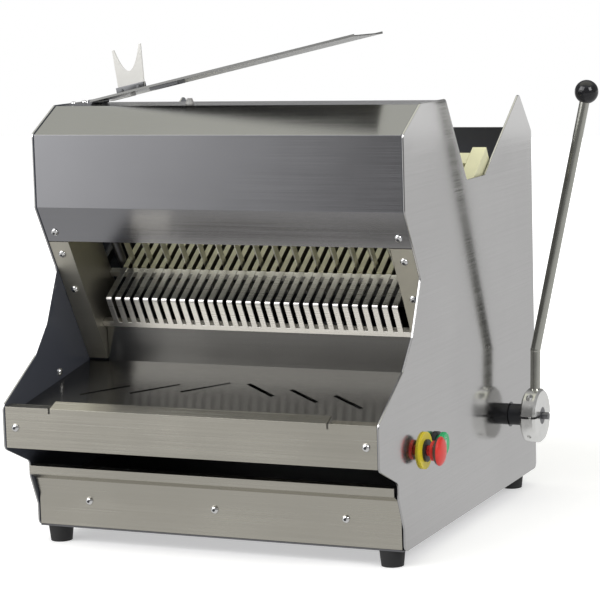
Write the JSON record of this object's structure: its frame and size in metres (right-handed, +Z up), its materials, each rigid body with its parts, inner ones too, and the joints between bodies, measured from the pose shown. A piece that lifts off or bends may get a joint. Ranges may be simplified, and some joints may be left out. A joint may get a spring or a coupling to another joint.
{
  "type": "bread slicer machine",
  "caption": "Table-top bread slicer: folded steel casing, sloping bread bed, reciprocating blade frames, lever-driven pusher, outfeed tray and crumb drawer.",
  "frame": {"origin": "on the standing surface, midway between the side panels and at half the depth of the base", "axes": "+X to the lever side, +Y to the rear, +Z up; bread comes out towards -Y"},
  "size_m": [0.6536, 0.636, 0.6701],
  "materials": {
    "panel_steel": "satin stainless sheet",
    "bright_steel": "bright brushed stainless sheet",
    "rail_steel": "satin stainless sheet, warm tone",
    "tray_steel": "polished stainless sheet",
    "dark_paint": "satin charcoal paint",
    "inner_steel": "plain steel inside",
    "blade_steel": "polished blade steel",
    "chromed": "chrome plate",
    "aluminium": "turned aluminium",
    "cream_plastic": "food-safe moulded plastic",
    "black_plastic": "moulded black plastic",
    "gloss_black": "polished ball",
    "rubber": "moulded rubber",
    "red_plastic": "moulded red plastic",
    "yellow_plastic": "moulded yellow plastic",
    "green_plastic": "moulded green plastic",
    "fork_plastic": "pale plastic"
  },
  "bodies": {
    "casing": {"left_side_panel": "panel_steel", "right_side_panel": "panel_steel", "base_plate": "inner_steel", "feet": "rubber", "rear_cover": "dark_paint", "rear_guard": "dark_paint", "front_hood": "dark_paint", "left_post": "bright_steel", "right_post": "bright_steel", "front_rail": "rail_steel", "outfeed_tray": "tray_steel", "outfeed_comb": "tray_steel", "bread_bed": "cream_plastic", "dome_screws": "chromed", "left_drive_plate": "inner_steel", "right_drive_plate": "inner_steel", "frame_guides": "inner_steel", "pusher_rails": "inner_steel", "crank_bearings": "dark_paint", "lever_bearings": "dark_paint", "motor_shelf": "inner_steel", "motor_body": "dark_paint", "drive_belt": "rubber", "control_box": "dark_paint", "cable_gland": "black_plastic", "stop_collar": "yellow_plastic", "stop_housing": "black_plastic", "start_housing": "black_plastic", "switch_blocks": "black_plastic", "scoop_hinge_leaf": "dark_paint", "scoop_pin": "inner_steel", "scoop_rest": "fork_plastic"},
    "drawer": {"crumb_drawer": "inner_steel", "drawer_front": "rail_steel", "drawer_screws": "chromed"},
    "front_blades": {"blade_frame_a": "inner_steel", "blades_a": "blade_steel"},
    "rear_blades": {"blade_frame_b": "inner_steel", "blades_b": "blade_steel"},
    "crank": {"crankshaft": "inner_steel", "eccentrics": "inner_steel", "crank_pulley": "inner_steel"},
    "rotor": {"motor_shaft": "inner_steel", "motor_pulley": "inner_steel"},
    "lever": {"lever_shaft": "inner_steel", "lever_sleeve": "black_plastic", "lever_hub": "aluminium", "hub_screws": "chromed", "lever_rod": "chromed", "lever_knob": "gloss_black", "drive_arms": "inner_steel", "arm_rollers": "inner_steel"},
    "pusher": {"pusher_comb": "cream_plastic", "pusher_cheeks": "cream_plastic"},
    "stop_plunger": {"stop_stem": "red_plastic"},
    "stop_cap": {"stop_head": "red_plastic"},
    "start_cap": {"start_button": "green_plastic"},
    "scoop": {"bagging_scoop": "tray_steel", "scoop_bracket": "dark_paint", "bag_fork": "fork_plastic"}
  },
  "joints": [
    {"name": "drawer_slide", "type": "slide", "parent": "casing", "child": "drawer", "axis": [0, -1, 0], "range_m": [0, 0.21]},
    {"name": "front_blade_stroke", "type": "slide", "parent": "casing", "child": "front_blades", "axis": [0, -0.5592, 0.829], "range_m": [-0.011, 0.011]},
    {"name": "rear_blade_stroke", "type": "slide", "parent": "casing", "child": "rear_blades", "axis": [0, -0.5592, 0.829], "range_m": [-0.011, 0.011]},
    {"name": "crank_turn", "type": "hinge", "parent": "casing", "child": "crank", "pos_m": [0, 0.03912, 0.19996], "axis": [1, 0, 0], "continuous": true},
    {"name": "rotor_turn", "type": "hinge", "parent": "casing", "child": "rotor", "pos_m": [0, 0.18752, 0.28396], "axis": [1, 0, 0], "continuous": true},
    {"name": "lever_swing", "type": "hinge", "parent": "casing", "child": "lever", "pos_m": [0.265, 0.15552, 0.122], "axis": [1, 0, 0], "range_deg": [0, 54]},
    {"name": "pusher_slide", "type": "slide", "parent": "casing", "child": "pusher", "axis": [0, -0.829, -0.5592], "range_m": [0, 0.15]},
    {"name": "stop_press", "type": "slide", "parent": "casing", "child": "stop_plunger", "axis": [-1, 0, 0], "range_m": [0, 0.005], "stiffness_N_per_m": 900},
    {"name": "stop_release", "type": "hinge", "parent": "stop_plunger", "child": "stop_cap", "pos_m": [0.277, -0.1945, 0.139], "axis": [1, 0, 0], "range_deg": [-30, 0], "stiffness_Nm_per_rad": 0.15},
    {"name": "start_press", "type": "slide", "parent": "casing", "child": "start_cap", "axis": [-1, 0, 0], "range_m": [0, 0.004], "stiffness_N_per_m": 700},
    {"name": "scoop_tilt", "type": "hinge", "parent": "casing", "child": "scoop", "pos_m": [-0.22, -0.1325, 0.5843], "axis": [0, -1, 0], "range_deg": [-9, 40]}
  ],
  "couplings": [
    {"joint": "rear_blade_stroke", "follows": "front_blade_stroke", "ratio": -1},
    {"joint": "rotor_turn", "follows": "crank_turn", "ratio": 2.12},
    {"joint": "pusher_slide", "follows": "lever_swing", "m_per_rad": 0.15895}
  ]
}
